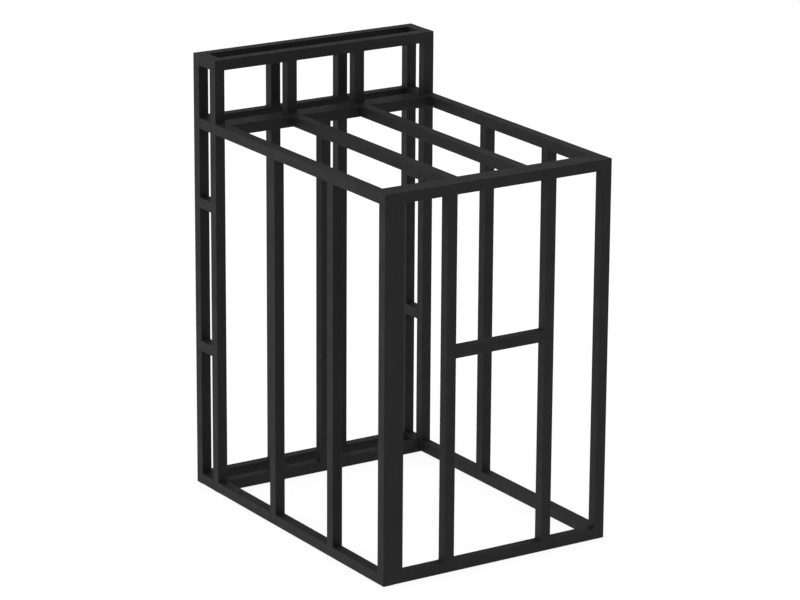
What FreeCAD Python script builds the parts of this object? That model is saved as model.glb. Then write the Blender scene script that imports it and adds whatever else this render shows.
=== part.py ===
import FreeCAD, Part
import os

from FreeCAD import Placement, Rotation, Vector

# Firewood log rack: an open cage of square steel tube, welded up from flat frames.
# Frame: origin on the floor at the middle of the footprint, +X to the rack's right
# seen from the front, +Y to the back, +Z up. Millimetres.

# Overall size
WIDTH = 600.0            # outside, left to right
DEPTH = 828.0            # outside, front frame to outer back frame
BOX_DEPTH = 753.0        # front face to the rear face of the inner back frame
HEIGHT = 900.0           # top of the roof
BACK_HEIGHT = 1050.0     # top of the double back wall

# Stock: 1 inch square tube, bent corners
TUBE = 25.4
WALL = 1.6
CORNER_RADIUS = 1.0

# Welds
BEAD_LEG = 1.8                                   # fillet bead in an inside corner
FILL_LEG = (2.0 - 2.0 ** 0.5) * CORNER_RADIUS    # fill between two rounded edges

# Tube centre lines, from the rack's left face, front face or floor
FRONT_POSTS = (175.0, 437.5)
CROSS_RAIL = 513.0
SIDE_POSTS = (226.0, 476.5)
BACK_POSTS = (207.5, 392.5)      # back wall posts and roof bars share them
BACK_CENTRE_POST = WIDTH / 2.0
SPACERS = (346.0, 696.0)

# Faces that the frames are set out from
LEFT = -WIDTH / 2.0
RIGHT = WIDTH / 2.0 - TUBE
FRONT = -DEPTH / 2.0
INNER_BACK = FRONT + BOX_DEPTH - TUBE
OUTER_BACK = DEPTH / 2.0 - TUBE
ROOF = HEIGHT - TUBE
CREST = BACK_HEIGHT - TUBE
HALF = TUBE / 2.0

AXES = {"x": 0, "y": 1, "z": 2}
# Turns a tube made along Z so that it runs along each axis, and says which of the
# rack's axes its own X and Y sides then lie on.
TURNS = {"x": (120.0, ("y", "z")), "y": (240.0, ("z", "x")), "z": (0.0, ("x", "y"))}
DIAGONAL = Vector(1, 1, 1)


def rounded_square(size, inset, radius):
    """Outline of a square tube wall, inset from the outer face."""
    low = inset
    high = size - inset
    outline = Part.makePlane(high - low, high - low, Vector(low, low, 0))
    prism = outline.extrude(Vector(0, 0, 1))
    upright = [edge for edge in prism.Edges if abs(edge.tangentAt(edge.FirstParameter).z) > 0.9]
    rounded = prism.makeFillet(radius, upright)
    floor = [face for face in rounded.Faces if face.normalAt(0, 0).z < -0.9 and face.CenterOfMass.z < 0.1]
    return floor[0].OuterWire


def mitre_wedge(length, side, high_end):
    """Waste beyond a 45 degree cut whose long point is opposite the given side."""
    spare = 1.0
    cut = []
    for across, along in ((-spare, -spare), (TUBE + spare, TUBE + spare), (-spare, TUBE + spare)):
        run = length - across if high_end else across
        position = along if side[0] == "+" else TUBE - along
        point = (position, -spare, run) if side[1] == "x" else (-spare, position, run)
        cut.append(Vector(*point))
    depth = TUBE + 2.0 * spare
    away = Vector(0, depth, 0) if side[1] == "x" else Vector(depth, 0, 0)
    return Part.Face(Part.makePolygon(cut + cut[:1])).extrude(away)


def make_tube(run, corner, length, low_mitre, high_mitre):
    """Square tube from its low corner, with square or mitred ends."""
    angle, (own_x, own_y) = TURNS[run]
    outer = rounded_square(TUBE, 0.0, CORNER_RADIUS)
    inner = rounded_square(TUBE, WALL, CORNER_RADIUS / 2.0)
    solid = Part.Face(outer).extrude(Vector(0, 0, length))
    solid = solid.cut(Part.Face(inner).extrude(Vector(0, 0, length)))
    for mitre, high_end in ((low_mitre, False), (high_mitre, True)):
        if mitre:
            own_side = mitre[0] + ("x" if mitre[1] == own_x else "y")
            solid = solid.cut(mitre_wedge(length, own_side, high_end))
    solid.Placement = Placement(Vector(*corner), Rotation(DIAGONAL, angle))
    return solid


tubes = {}


def add_tube(name, run, x, y, z, end, low_mitre=None, high_mitre=None):
    """Adds a tube whose low corner is x, y, z and which runs up to end on its axis."""
    corner = (x, y, z)
    length = end - corner[AXES[run]]
    tubes[name] = (run, corner, length, low_mitre, high_mitre)


# Front frame: a mitred rectangle beside the left corner post, with two inner posts
# and a cross rail between them.
front_left = LEFT + TUBE
add_tube("front_frame_bottom_rail", "x", front_left, FRONT, 0.0, RIGHT + TUBE, "+z", "+z")
add_tube("front_frame_top_rail", "x", front_left, FRONT, ROOF, RIGHT + TUBE, "-z", "-z")
add_tube("front_frame_left_post", "z", front_left, FRONT, 0.0, HEIGHT, "+x", "+x")
add_tube("front_frame_right_post", "z", RIGHT, FRONT, 0.0, HEIGHT, "-x", "-x")
inner_left = LEFT + FRONT_POSTS[0] - HALF
inner_right = LEFT + FRONT_POSTS[1] - HALF
add_tube("front_frame_inner_post_left", "z", inner_left, FRONT, TUBE, ROOF)
add_tube("front_frame_inner_post_right", "z", inner_right, FRONT, TUBE, ROOF)
add_tube("front_frame_cross_rail", "x", inner_left + TUBE, FRONT, CROSS_RAIL - HALF, inner_right)

# Left side frame: its own corner post, mitred to the rails, stands against the front
# frame, so the front left corner is two tubes wide.
add_tube("left_side_corner_post", "z", LEFT, FRONT, 0.0, HEIGHT, "+y", "+y")
add_tube("left_side_bottom_rail", "y", LEFT, FRONT, 0.0, INNER_BACK, "+z")
add_tube("left_side_top_rail", "y", LEFT, FRONT, ROOF, INNER_BACK, "-z")

# Right side frame: the rails butt on the front frame's right post.
add_tube("right_side_bottom_rail", "y", RIGHT, FRONT + TUBE, 0.0, INNER_BACK)
add_tube("right_side_top_rail", "y", RIGHT, FRONT + TUBE, ROOF, INNER_BACK)

for side, x in (("left", LEFT), ("right", RIGHT)):
    for place, centre in zip(("front", "rear"), SIDE_POSTS):
        add_tube(f"{side}_side_{place}_post", "z", x, FRONT + centre - HALF, TUBE, ROOF)

# Roof: a ladder let in between the side rails, against the front frame's top rail
# and the inner back frame's middle rail.
roof_front = FRONT + TUBE
roof_rear = INNER_BACK - TUBE
add_tube("roof_front_rail", "x", front_left, roof_front, ROOF, RIGHT)
add_tube("roof_rear_rail", "x", front_left, roof_rear, ROOF, RIGHT)
for side, centre in zip(("left", "right"), BACK_POSTS):
    add_tube(f"roof_bar_{side}", "y", LEFT + centre - HALF, roof_front + TUBE, ROOF, roof_rear)

# Back wall: two mitred rectangles, held apart by spacers at both ends.
for frame, y in (("inner_back", INNER_BACK), ("outer_back", OUTER_BACK)):
    add_tube(f"{frame}_bottom_rail", "x", LEFT, y, 0.0, RIGHT + TUBE, "+z", "+z")
    add_tube(f"{frame}_top_rail", "x", LEFT, y, CREST, RIGHT + TUBE, "-z", "-z")
    add_tube(f"{frame}_left_post", "z", LEFT, y, 0.0, BACK_HEIGHT, "+x", "+x")
    add_tube(f"{frame}_right_post", "z", RIGHT, y, 0.0, BACK_HEIGHT, "-x", "-x")

# Inner back frame: one long middle rail at roof height, a centre post below it and
# two short posts above it.
centre_x = LEFT + BACK_CENTRE_POST - HALF
add_tube("inner_back_middle_rail", "x", LEFT + TUBE, INNER_BACK, ROOF, RIGHT)
add_tube("inner_back_centre_post", "z", centre_x, INNER_BACK, TUBE, ROOF)
for side, centre in zip(("left", "right"), BACK_POSTS):
    add_tube(f"inner_back_upper_post_{side}", "z", LEFT + centre - HALF, INNER_BACK, HEIGHT, CREST)

# Outer back frame: two long posts, with the middle rail in three lengths between them.
rail_starts = [LEFT + TUBE]
rail_ends = []
for side, centre in zip(("left", "right"), BACK_POSTS):
    post_x = LEFT + centre - HALF
    add_tube(f"outer_back_inner_post_{side}", "z", post_x, OUTER_BACK, TUBE, CREST)
    rail_ends.append(post_x)
    rail_starts.append(post_x + TUBE)
rail_ends.append(RIGHT)
for place, start, end in zip(("left", "centre", "right"), rail_starts, rail_ends):
    add_tube(f"outer_back_middle_rail_{place}", "x", start, OUTER_BACK, ROOF, end)

# Spacers between the two back frames, five at each end.
spacer_levels = {
    "bottom": 0.0,
    "lower": SPACERS[0] - HALF,
    "upper": SPACERS[1] - HALF,
    "roof": ROOF,
    "top": CREST,
}
for side, x in (("left", LEFT), ("right", RIGHT)):
    for level, z in spacer_levels.items():
        add_tube(f"spacer_{side}_{level}", "y", x, INNER_BACK + TUBE, z, OUTER_BACK)


def tube_box(name):
    """Lowest and highest corners of a tube's square envelope."""
    run, corner, length, _, _ = tubes[name]
    low = list(corner)
    high = [value + TUBE for value in corner]
    high[AXES[run]] = corner[AXES[run]] + length
    return low, high


boxes = {name: tube_box(name) for name in tubes}


def in_a_tube(point):
    """True where a point is within any tube's envelope."""
    for low, high in boxes.values():
        if all(low[axis] < point[axis] < high[axis] for axis in range(3)):
            return True
    return False


def weld_prism(edge_start, along, length, first, second):
    """Three-cornered weld: an edge of the given length and two legs square to it."""
    start = Vector(*edge_start)
    corners = [start, start + first, start + second]
    face = Part.Face(Part.makePolygon(corners + corners[:1]))
    return face.extrude(along * length)


def unit(axis, sign=1.0):
    """Unit vector along an axis number."""
    values = [0.0, 0.0, 0.0]
    values[axis] = sign
    return Vector(*values)


# Each frame's beads are one group, named after the frame. The fills are another group,
# because they are ground flush and painted over.
frames = ("front_frame", "left_side", "right_side", "roof", "inner_back", "outer_back", "spacer")
beads = {frame: [] for frame in frames}
fills = []
bead_places = set()


def add_bead(frame, edge, along, first, second):
    """Fillet bead in an inside corner. Two ends that share a corner share its bead."""
    place = (along, tuple(round(value, 3) for value in edge))
    if place not in bead_places:
        bead_places.add(place)
        flat = TUBE - 2.0 * CORNER_RADIUS
        beads[frame].append(weld_prism(edge, unit(along), flat, first * BEAD_LEG, second * BEAD_LEG))


def weld_square_end(frame, name, high_end):
    """Weld around one square end: a bead in each inside corner, and a fill, ground
    flush, where the end meets the rounded edge of the tube that it stands on."""
    run = AXES[tubes[name][0]]
    low, high = boxes[name]
    seat = high[run] if high_end else low[run]
    inward = 1.0 if high_end else -1.0
    for across in range(3):
        if across == run:
            continue
        along = 3 - run - across
        for side in (-1.0, 1.0):
            edge = [0.0, 0.0, 0.0]
            edge[run] = seat
            edge[across] = high[across] if side > 0 else low[across]
            edge[along] = low[along] + CORNER_RADIUS
            probe = list(edge)
            probe[along] = low[along] + HALF
            probe[across] += side * BEAD_LEG / 2.0
            probe[run] = seat + inward * BEAD_LEG / 2.0
            seat_goes_on = in_a_tube(probe)
            probe[run] = seat - inward * BEAD_LEG / 2.0
            if not seat_goes_on:
                legs = (unit(run, inward) * FILL_LEG, unit(across, -side) * FILL_LEG)
                fills.append(weld_prism(edge, unit(along), TUBE - 2.0 * CORNER_RADIUS, *legs))
            elif not in_a_tube(probe):
                add_bead(frame, edge, along, unit(run, -inward), unit(across, side))


def weld_mitre(frame, name, side, high_end):
    """Bead in the inside corner of a mitre."""
    run = AXES[tubes[name][0]]
    across = AXES[side[1]]
    along = 3 - run - across
    low, high = boxes[name]
    inward = -1.0 if high_end else 1.0
    outward = 1.0 if side[0] == "+" else -1.0
    edge = [0.0, 0.0, 0.0]
    edge[run] = high[run] - TUBE if high_end else low[run] + TUBE
    edge[across] = high[across] if outward > 0 else low[across]
    edge[along] = low[along] + CORNER_RADIUS
    add_bead(frame, edge, along, unit(run, inward), unit(across, outward))


def fill_seam(edge_start, along, length, across, inward):
    """Fill, ground flush, in the groove between two tubes laid side by side."""
    for side in (-1.0, 1.0):
        legs = (unit(across, side) * FILL_LEG, inward * FILL_LEG)
        fills.append(weld_prism(edge_start, unit(along), length, *legs))


for name, (_, _, _, low_mitre, high_mitre) in tubes.items():
    frame = next(frame for frame in frames if name.startswith(frame))
    for mitre, high_end in ((low_mitre, False), (high_mitre, True)):
        if mitre:
            weld_mitre(frame, name, mitre, high_end)
        else:
            weld_square_end(frame, name, high_end)

# Seams along the doubled tubes: the front left corner, and the roof's two rails.
down = Vector(0, 0, -1)
up = Vector(0, 0, 1)
back = Vector(0, 1, 0)
front = Vector(0, -1, 0)
X, Y, Z = 0, 1, 2
fill_seam((front_left, FRONT, 0.0), Z, HEIGHT, X, back)
fill_seam((front_left, FRONT + TUBE, TUBE), Z, ROOF - TUBE, X, front)
for y, start in ((roof_front, front_left + TUBE), (INNER_BACK, front_left)):
    fill_seam((front_left, y, HEIGHT), X, RIGHT - front_left, Y, down)
    fill_seam((start, y, ROOF), X, RIGHT - start, Y, up)

os.makedirs("parts", exist_ok=True)
for name, (run, corner, length, low_mitre, high_mitre) in tubes.items():
    make_tube(run, corner, length, low_mitre, high_mitre).exportStep(f"parts/{name}.step")
for frame, solids in beads.items():
    Part.makeCompound(solids).exportStep(f"parts/{frame}_weld_beads.step")
Part.makeCompound(fills).exportStep("parts/flush_welds.step")
print(len(tubes), "tubes,", sum(len(solids) for solids in beads.values()), "beads,", len(fills), "fills")
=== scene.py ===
import math

import bpy
from mathutils import Matrix, Vector


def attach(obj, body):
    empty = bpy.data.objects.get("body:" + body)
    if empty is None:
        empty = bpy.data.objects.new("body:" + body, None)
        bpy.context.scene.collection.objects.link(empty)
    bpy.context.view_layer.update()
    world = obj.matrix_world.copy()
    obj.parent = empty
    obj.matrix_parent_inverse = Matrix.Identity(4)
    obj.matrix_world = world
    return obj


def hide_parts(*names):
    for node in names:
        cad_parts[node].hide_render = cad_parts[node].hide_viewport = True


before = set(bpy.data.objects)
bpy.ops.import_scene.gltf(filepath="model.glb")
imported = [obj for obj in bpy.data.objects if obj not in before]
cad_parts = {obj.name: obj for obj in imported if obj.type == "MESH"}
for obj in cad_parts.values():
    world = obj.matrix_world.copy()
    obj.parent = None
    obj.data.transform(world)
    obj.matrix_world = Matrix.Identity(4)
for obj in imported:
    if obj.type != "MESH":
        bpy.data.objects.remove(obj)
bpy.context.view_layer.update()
scene = bpy.context.scene


# --- Front frame -----------------------------------------------------------------
# Seven lengths of one inch square steel tube: a mitred rectangle with two inner posts
# and a short cross rail. Like the whole rack it is welded, the outside faces are ground
# flush, and one coat of matt black powder is baked on.

COAT_BLACK = (0.0115, 0.0115, 0.012, 1.0)
COAT_CHALKED = (0.0185, 0.0185, 0.019, 1.0)
COAT_RUBBED = (0.034, 0.034, 0.035, 1.0)
DUST = (0.14, 0.13, 0.115, 1.0)


def new_group(name, inputs, outputs):
    """An empty shader node group with named sockets, and what goes in and comes out."""
    group = bpy.data.node_groups.new(name, "ShaderNodeTree")
    for label, kind, value in inputs:
        socket = group.interface.new_socket(label, in_out="INPUT", socket_type=kind)
        if value is not None:
            socket.default_value = value
    for label in outputs:
        group.interface.new_socket(label, in_out="OUTPUT", socket_type="NodeSocketFloat")
    given = group.nodes.new("NodeGroupInput").outputs
    result = group.nodes.new("NodeGroupOutput").inputs
    return group, given, result


def place_group(tree, group, links, values):
    """Places a node group, linking some of its inputs and setting others."""
    node = tree.nodes.new("ShaderNodeGroup")
    node.node_tree = group
    for label, source in links.items():
        tree.links.new(source, node.inputs[label])
    for label, value in values.items():
        node.inputs[label].default_value = value
    return node.outputs


def add_noise(tree, where, size, detail, roughness):
    """Noise whose largest blotches are about the given size, in metres."""
    noise = tree.nodes.new("ShaderNodeTexNoise")
    noise.inputs["Scale"].default_value = 1.0 / size
    noise.inputs["Detail"].default_value = detail
    noise.inputs["Roughness"].default_value = roughness
    tree.links.new(where, noise.inputs["Vector"])
    return noise.outputs["Fac"]


def add_math(tree, operation, first, second, clamp=False):
    """A sum on two values, each a socket or a number."""
    node = tree.nodes.new("ShaderNodeMath")
    node.operation = operation
    node.use_clamp = clamp
    for socket, value in zip(node.inputs, (first, second)):
        if isinstance(value, bpy.types.NodeSocket):
            tree.links.new(value, socket)
        else:
            socket.default_value = value
    return node.outputs[0]


def add_range(tree, value, low, high, new_low=0.0, new_high=1.0):
    """Stretches the values from low to high over a new range, and clips the rest."""
    node = tree.nodes.new("ShaderNodeMapRange")
    tree.links.new(value, node.inputs["Value"])
    node.inputs["From Min"].default_value = low
    node.inputs["From Max"].default_value = high
    node.inputs["To Min"].default_value = new_low
    node.inputs["To Max"].default_value = new_high
    return node.outputs["Result"]


def add_mix(tree, mask, under, over):
    """Lays one colour over another where the mask is high."""
    node = tree.nodes.new("ShaderNodeMix")
    node.data_type = "RGBA"
    tree.links.new(mask, node.inputs["Factor"])
    for label, colour in (("A", under), ("B", over)):
        socket = next(s for s in node.inputs if s.name == label and s.type == "RGBA")
        if isinstance(colour, bpy.types.NodeSocket):
            tree.links.new(colour, socket)
        else:
            socket.default_value = colour
    return next(s for s in node.outputs if s.type == "RGBA")


# Baked powder keeps a fine orange peel: low blisters a millimetre or two across, with
# a sandy grain on top that scatters the light.
BLISTER = 0.0016
GRAIN = 0.0004
GRAIN_HEIGHT = 0.35

orange_peel, given, result = new_group(
    "orange peel",
    [("Vector", "NodeSocketVector", None), ("Fineness", "NodeSocketFloat", 1.0)],
    ["Height", "Grain"],
)
scaled = orange_peel.nodes.new("ShaderNodeVectorMath")
scaled.operation = "SCALE"
orange_peel.links.new(given["Vector"], scaled.inputs[0])
orange_peel.links.new(given["Fineness"], scaled.inputs["Scale"])
blisters = add_noise(orange_peel, scaled.outputs[0], BLISTER, detail=1.0, roughness=0.4)
grain = add_noise(orange_peel, scaled.outputs[0], GRAIN, detail=2.0, roughness=0.6)
blisters = add_range(orange_peel, blisters, 0.3, 0.7)
height = add_math(orange_peel, "ADD", blisters, add_math(orange_peel, "MULTIPLY", grain, GRAIN_HEIGHT))
orange_peel.links.new(height, result["Height"])
orange_peel.links.new(grain, result["Grain"])

# Logs and gloves polish the edges in patches and nicks. Every tube runs along X, Y or
# Z, so the largest part of a normal is 1 on the flats and less on the rounded edges.
FLAT = 0.995
EDGE = 0.8
PATCH = 0.026
NICK = 0.0024
NICK_DEPTH = 0.5

edge_rub, given, result = new_group(
    "edge rub",
    [
        ("Vector", "NodeSocketVector", None),
        ("Normal", "NodeSocketVector", None),
        ("Amount", "NodeSocketFloat", 0.5),
    ],
    ["Rubbed"],
)
normal = edge_rub.nodes.new("ShaderNodeSeparateXYZ")
edge_rub.links.new(given["Normal"], normal.inputs[0])
across, deep, up = [add_math(edge_rub, "ABSOLUTE", part, 0.0) for part in normal.outputs]
largest = add_math(edge_rub, "MAXIMUM", add_math(edge_rub, "MAXIMUM", across, deep), up)
on_edge = add_range(edge_rub, largest, FLAT, EDGE)
patches = add_noise(edge_rub, given["Vector"], PATCH, detail=5.0, roughness=0.65)
nicks = add_noise(edge_rub, given["Vector"], NICK, detail=3.0, roughness=0.6)
marks = add_math(edge_rub, "ADD", patches, add_math(edge_rub, "MULTIPLY", nicks, NICK_DEPTH))
rubbed = add_math(edge_rub, "MULTIPLY", add_range(edge_rub, marks, 0.72, 0.95), on_edge)
rubbed = add_math(edge_rub, "MULTIPLY", rubbed, given["Amount"], clamp=True)
edge_rub.links.new(rubbed, result["Rubbed"])

# Wood dust settles thinly on what faces up, in drifts and specks.
DRIFT = 0.07
SPECK = 0.0011
THIN_DUST = 0.25
FINE_DUST = 0.3
STEEP = 0.35
LEVEL = 0.95

settled_dust, given, result = new_group(
    "settled dust",
    [
        ("Vector", "NodeSocketVector", None),
        ("Normal", "NodeSocketVector", None),
        ("Amount", "NodeSocketFloat", 0.1),
    ],
    ["Dust"],
)
normal = settled_dust.nodes.new("ShaderNodeSeparateXYZ")
settled_dust.links.new(given["Normal"], normal.inputs[0])
facing_up = add_range(settled_dust, normal.outputs["Z"], STEEP, LEVEL)
drifts = add_noise(settled_dust, given["Vector"], DRIFT, detail=6.0, roughness=0.7)
drifts = add_range(settled_dust, drifts, 0.35, 0.7, THIN_DUST, 1.0)
specks = add_noise(settled_dust, given["Vector"], SPECK, detail=2.0, roughness=0.5)
specks = add_range(settled_dust, specks, 0.4, 0.7, FINE_DUST, 1.0)
dusty = add_math(settled_dust, "MULTIPLY", add_math(settled_dust, "MULTIPLY", drifts, specks), facing_up)
dusty = add_math(settled_dust, "MULTIPLY", dusty, given["Amount"], clamp=True)
settled_dust.links.new(dusty, result["Dust"])

# The colour chalks in soft clouds, and the gloss wanders in streaks. Rubbing polishes
# the coat, and dust dulls it.
CLOUD = 0.11
STREAK = 0.045
MOST_CHALK = 0.5
RUB_POLISH = 0.25
DUST_DULLING = 0.4
PEEL_STRENGTH = 0.35
SHEEN_LEVEL = 0.32


def powder_coat(name, fineness, rub, dust, low_roughness, high_roughness, peel_depth):
    """Matt black powder coat on steel."""
    material = bpy.data.materials.new(name)
    material.use_nodes = True
    tree = material.node_tree
    shader = tree.nodes["Principled BSDF"]
    coordinates = tree.nodes.new("ShaderNodeTexCoord")
    where = coordinates.outputs["Object"]
    surface = {"Vector": where, "Normal": coordinates.outputs["Normal"]}
    peel = place_group(tree, orange_peel, {"Vector": where}, {"Fineness": fineness})
    rubbed = place_group(tree, edge_rub, surface, {"Amount": rub})["Rubbed"]
    dusty = place_group(tree, settled_dust, surface, {"Amount": dust})["Dust"]

    clouds = add_noise(tree, where, CLOUD, detail=4.0, roughness=0.6)
    clouds = add_range(tree, clouds, 0.4, 0.75, 0.0, MOST_CHALK)
    speckle = add_range(tree, peel["Grain"], 0.35, 0.75, 0.0, MOST_CHALK)
    chalked = add_math(tree, "ADD", clouds, speckle, clamp=True)
    colour = add_mix(tree, chalked, COAT_BLACK, COAT_CHALKED)
    colour = add_mix(tree, rubbed, colour, COAT_RUBBED)
    colour = add_mix(tree, dusty, colour, DUST)
    tree.links.new(colour, shader.inputs["Base Color"])

    streaks = add_noise(tree, where, STREAK, detail=5.0, roughness=0.65)
    roughness = add_range(tree, streaks, 0.3, 0.7, low_roughness, high_roughness)
    polish = add_math(tree, "MULTIPLY", rubbed, RUB_POLISH)
    dulling = add_math(tree, "MULTIPLY", dusty, DUST_DULLING)
    roughness = add_math(tree, "SUBTRACT", roughness, polish)
    roughness = add_math(tree, "ADD", roughness, dulling, clamp=True)
    tree.links.new(roughness, shader.inputs["Roughness"])

    bump = tree.nodes.new("ShaderNodeBump")
    bump.inputs["Strength"].default_value = PEEL_STRENGTH
    bump.inputs["Distance"].default_value = peel_depth
    tree.links.new(peel["Height"], bump.inputs["Height"])
    tree.links.new(bump.outputs["Normal"], shader.inputs["Normal"])
    shader.inputs["Specular IOR Level"].default_value = SHEEN_LEVEL
    return material


def paint(name, coat):
    """Gives a coat to one node of the design."""
    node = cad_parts[name]
    for place in node.material_slots:
        place.material = coat


def paint_tubes(start):
    """Gives the tubes' coat to every tube whose name starts so."""
    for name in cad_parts:
        if name.startswith(start) and "weld" not in name:
            paint(name, tube_coat)


tube_coat = powder_coat(
    "black powder coat",
    fineness=1.0,
    rub=0.55,
    dust=0.05,
    low_roughness=0.52,
    high_roughness=0.68,
    peel_depth=0.00012,
)
paint_tubes("front_frame_")


# --- Side frames -----------------------------------------------------------------
# Two rails and two posts a side, of the same tube. The left one has its own corner post,
# mitred to its rails, beside the front frame; the right one butts on the front frame.

paint_tubes("left_side_")
paint_tubes("right_side_")


# --- Roof ladder -----------------------------------------------------------------
# Two rails and two bars of the same tube, welded in between the side frames' top rails,
# so that the roof's front and rear edges are two tubes deep.

paint_tubes("roof_")


# --- Back wall -------------------------------------------------------------------
# Two mitred rectangles of the same tube, two tubes apart, that stand 150 mm above the
# roof. Short lengths of tube, welded in between, hold them apart at both ends.

paint_tubes("inner_back_")
paint_tubes("outer_back_")
paint_tubes("spacer_")


# --- Flush welds -----------------------------------------------------------------
# Weld metal that fills the grooves where tubes meet on an outside face and along the
# doubled tubes. It is ground level with an abrasive disc, which leaves its coat rougher.

weld_coat = powder_coat(
    "black powder coat on welds",
    fineness=0.8,
    rub=0.35,
    dust=0.05,
    low_roughness=0.48,
    high_roughness=0.66,
    peel_depth=0.00016,
)
paint("flush_welds", weld_coat)


# --- Fillet beads ----------------------------------------------------------------
# Fillet welds in every inside corner, coated as laid: each is a row of overlapping
# puddles, bowed along the weld as they froze, that tapers where it starts and stops.

BEAD_LEG = 0.0018
BEAD_LENGTH = 0.0234
BEAD_END = BEAD_LENGTH / 2
BEAD_SIDES = 16
PUDDLES = 9
PUDDLE = BEAD_LENGTH / PUDDLES
PINCH = 0.84
END_PINCH = 0.55
BOW = 0.35 * PUDDLE
TOE = 0.3 * BEAD_LEG
SMOOTH_UNDER = 50.0
TOUCH = 0.0001


def select_vertices(piece, chosen):
    """In edit mode, selects the vertices whose place passes the test."""
    bpy.ops.mesh.select_mode(type="VERT")
    bpy.ops.mesh.select_all(action="DESELECT")
    bpy.ops.object.mode_set(mode="OBJECT")
    for vertex in piece.data.vertices:
        vertex.select = chosen(vertex.co)
    bpy.ops.object.mode_set(mode="EDIT")


bpy.ops.object.select_all(action="DESELECT")
bpy.ops.mesh.primitive_cylinder_add(
    vertices=BEAD_SIDES, radius=BEAD_LEG, depth=BEAD_LENGTH, rotation=(0.0, math.pi / 2, 0.0)
)
bead = bpy.context.object
bead.name = "fillet_bead"
bpy.ops.object.transform_apply(location=True, rotation=True, scale=True)

# A quarter of the cylinder lies in the corner between the two tubes.
bpy.ops.object.mode_set(mode="EDIT")
for inward in ((0.0, 1.0, 0.0), (0.0, 0.0, 1.0)):
    bpy.ops.mesh.select_all(action="SELECT")
    bpy.ops.mesh.bisect(plane_co=(0.0, 0.0, 0.0), plane_no=inward, use_fill=True, clear_inner=True)

# It is cut across at the middle of each puddle and between the puddles.
cuts = [PUDDLE * step / 2 - BEAD_END for step in range(2 * PUDDLES + 1)]
for place in cuts[1:-1]:
    bpy.ops.mesh.select_all(action="SELECT")
    bpy.ops.mesh.bisect(plane_co=(place, 0.0, 0.0), plane_no=(1.0, 0.0, 0.0))

# It is pinched in between the puddles, and more so at its two ends.
for place in cuts[::2]:
    select_vertices(bead, lambda co: abs(co.x - place) < TOUCH)
    pinch = END_PINCH if place in (cuts[0], cuts[-1]) else PINCH
    bpy.ops.transform.resize(value=(1.0, pinch, pinch), center_override=(place, 0.0, 0.0))

# The crown of each puddle runs ahead of its toes.
select_vertices(bead, lambda co: min(co.y, co.z) > TOE and abs(co.x) < BEAD_END - TOUCH)
bpy.ops.transform.translate(value=(BOW, 0.0, 0.0))
bpy.ops.mesh.select_all(action="SELECT")
bpy.ops.mesh.normals_make_consistent(inside=False)
bpy.ops.object.mode_set(mode="OBJECT")
bpy.ops.object.shade_smooth_by_angle(angle=math.radians(SMOOTH_UNDER))
bead.data.materials.append(weld_coat)


def bead_places(name):
    """The corner, the two legs' directions and the length of every bead in a node of the
    design, where a bead is a plain three-cornered prism."""
    bpy.ops.object.select_all(action="DESELECT")
    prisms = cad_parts[name].copy()
    prisms.data = prisms.data.copy()
    scene.collection.objects.link(prisms)
    prisms.select_set(True)
    bpy.context.view_layer.objects.active = prisms
    bpy.ops.object.mode_set(mode="EDIT")
    bpy.ops.mesh.select_all(action="SELECT")
    bpy.ops.mesh.remove_doubles(threshold=TOUCH / 10)
    bpy.ops.mesh.separate(type="LOOSE")
    bpy.ops.object.mode_set(mode="OBJECT")
    places = []
    for prism in bpy.context.selected_objects:
        points = [vertex.co.copy() for vertex in prism.data.vertices]
        low = Vector(min(point[axis] for point in points) for axis in range(3))
        high = Vector(max(point[axis] for point in points) for axis in range(3))
        mean = sum(points, Vector()) / len(points)
        corner = (low + high) / 2
        long_axis = max(range(3), key=lambda axis: high[axis] - low[axis])
        legs = []
        for axis in range(3):
            if axis != long_axis:
                leg = Vector()
                leg[axis] = math.copysign(1.0, corner[axis] - mean[axis])
                corner[axis] = low[axis] if leg[axis] > 0.0 else high[axis]
                legs.append(leg)
        places.append((corner, legs, high[long_axis] - low[long_axis]))
        bpy.data.objects.remove(prism)
    return sorted(places, key=lambda place: tuple(place[0]))


def lay_beads(name):
    """Copies the bead into every corner that a node of the design marks, as one piece."""
    copies = []
    for corner, (first, second), length in bead_places(name):
        copy = bead.copy()
        copy.data = bead.data.copy()
        scene.collection.objects.link(copy)
        along = first.cross(second) * length / BEAD_LENGTH
        turned = Matrix((along, first, second)).transposed().to_4x4()
        copy.data.transform(Matrix.Translation(corner) @ turned)
        copies.append(copy)
    bpy.ops.object.select_all(action="DESELECT")
    for copy in copies:
        copy.select_set(True)
    bpy.context.view_layer.objects.active = copies[0]
    bpy.ops.object.join()
    piece = bpy.context.object
    piece.name = name.replace("_weld_beads", "_fillet_beads")
    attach(piece, "root")
    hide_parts(name)


for group in ("front_frame", "left_side", "right_side", "roof", "inner_back", "outer_back", "spacer"):
    lay_beads(group + "_weld_beads")
bpy.data.objects.remove(bead)


# --- Studio ----------------------------------------------------------------------
# A plain pale floor that glows a little, under an even sky. One broad lamp stands low on
# the left, one hangs overhead, and a weaker one stands on the right.

FLOOR_SIZE = 120.0
FLOOR_COLOUR = (0.3, 0.3, 0.3, 1.0)
FLOOR_GLOW = 0.48
FLOOR_GLOW_SEEN = 0.86
FLOOR_ROUGHNESS = 0.9
SKY = 0.33
SKY_SEEN = 1.0
WHITE = (1.0, 1.0, 1.0, 1.0)

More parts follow.
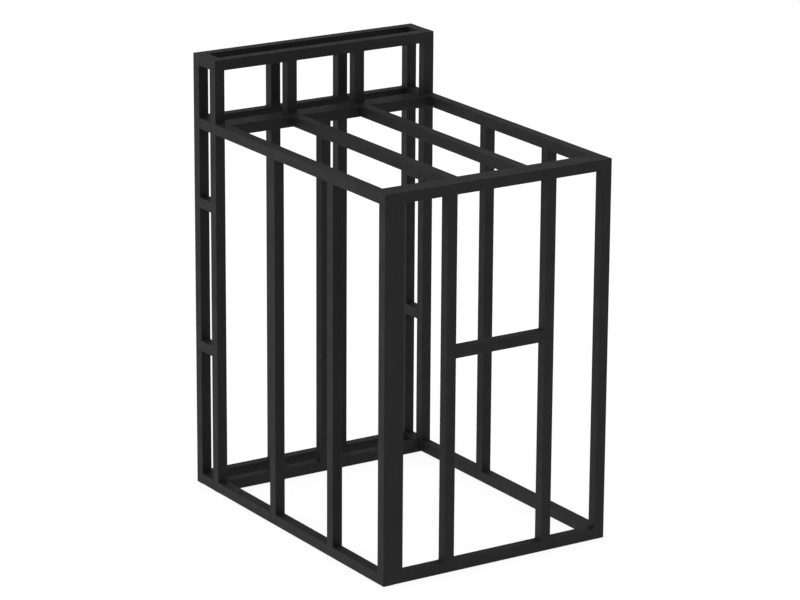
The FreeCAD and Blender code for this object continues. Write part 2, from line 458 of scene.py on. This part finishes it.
bpy.ops.object.select_all(action="DESELECT")
bpy.ops.mesh.primitive_plane_add(size=FLOOR_SIZE, location=(0.0, 0.0, 0.0))
floor = bpy.context.object
floor.name = "floor"
floor_paint = bpy.data.materials.new("pale floor")
floor_paint.use_nodes = True
floor_tree = floor_paint.node_tree
floor_shader = floor_tree.nodes["Principled BSDF"]
floor_shader.inputs["Base Color"].default_value = FLOOR_COLOUR
floor_shader.inputs["Roughness"].default_value = FLOOR_ROUGHNESS
floor_shader.inputs["Specular IOR Level"].default_value = 0.0
floor_shader.inputs["Emission Color"].default_value = WHITE
seen = floor_tree.nodes.new("ShaderNodeLightPath").outputs["Is Camera Ray"]
glow = add_range(floor_tree, seen, 0.0, 1.0, FLOOR_GLOW, FLOOR_GLOW_SEEN)
floor_tree.links.new(glow, floor_shader.inputs["Emission Strength"])
floor.data.materials.append(floor_paint)

scene.view_settings.view_transform = "Standard"
scene.world = bpy.data.worlds.new("studio")
scene.world.use_nodes = True
sky_tree = scene.world.node_tree
sky = sky_tree.nodes["Background"]
sky.inputs["Color"].default_value = WHITE
seen = sky_tree.nodes.new("ShaderNodeLightPath").outputs["Is Camera Ray"]
sky_tree.links.new(add_range(sky_tree, seen, 0.0, 1.0, SKY, SKY_SEEN), sky.inputs["Strength"])


def turned_to(azimuth, elevation):
    """The turn of something that stands off at that azimuth, 0 being the front, and at
    that height angle, and faces the rack."""
    turn = Matrix.Rotation(math.radians(azimuth), 4, "Z")
    tilt = Matrix.Rotation(math.radians(90.0 - elevation), 4, "X")
    return turn @ tilt


def add_lamp(name, azimuth, elevation, strength, spread):
    """A broad even lamp; its strength is what a white face square to it would show."""
    light = bpy.data.lights.new(name, "SUN")
    light.energy = math.pi * strength
    light.angle = math.radians(spread)
    lamp = bpy.data.objects.new(name, light)
    scene.collection.objects.link(lamp)
    lamp.matrix_world = turned_to(azimuth, elevation)


add_lamp("left_lamp", azimuth=-108.0, elevation=5.0, strength=0.44, spread=60.0)
add_lamp("overhead_lamp", azimuth=0.0, elevation=90.0, strength=0.16, spread=50.0)
add_lamp("right_lamp", azimuth=98.0, elevation=4.0, strength=0.22, spread=60.0)

# The camera stands well back on the front left with a long lens.
CAMERA_PLACE = (-4.4959, -6.9703, 3.0127)
CAMERA_AZIMUTH = -32.861
CAMERA_ELEVATION = 16.783
CAMERA_ROLL = 0.362
LENS = 168.97
SENSOR = 36.0

lens = bpy.data.cameras.new("camera")
lens.lens = LENS
lens.sensor_width = SENSOR
lens.clip_end = 2.0 * FLOOR_SIZE
camera = bpy.data.objects.new("camera", lens)
scene.collection.objects.link(camera)
roll = Matrix.Rotation(math.radians(CAMERA_ROLL), 4, "Z")
turn = turned_to(CAMERA_AZIMUTH, CAMERA_ELEVATION)
camera.matrix_world = Matrix.Translation(CAMERA_PLACE) @ turn @ roll
scene.camera = camera
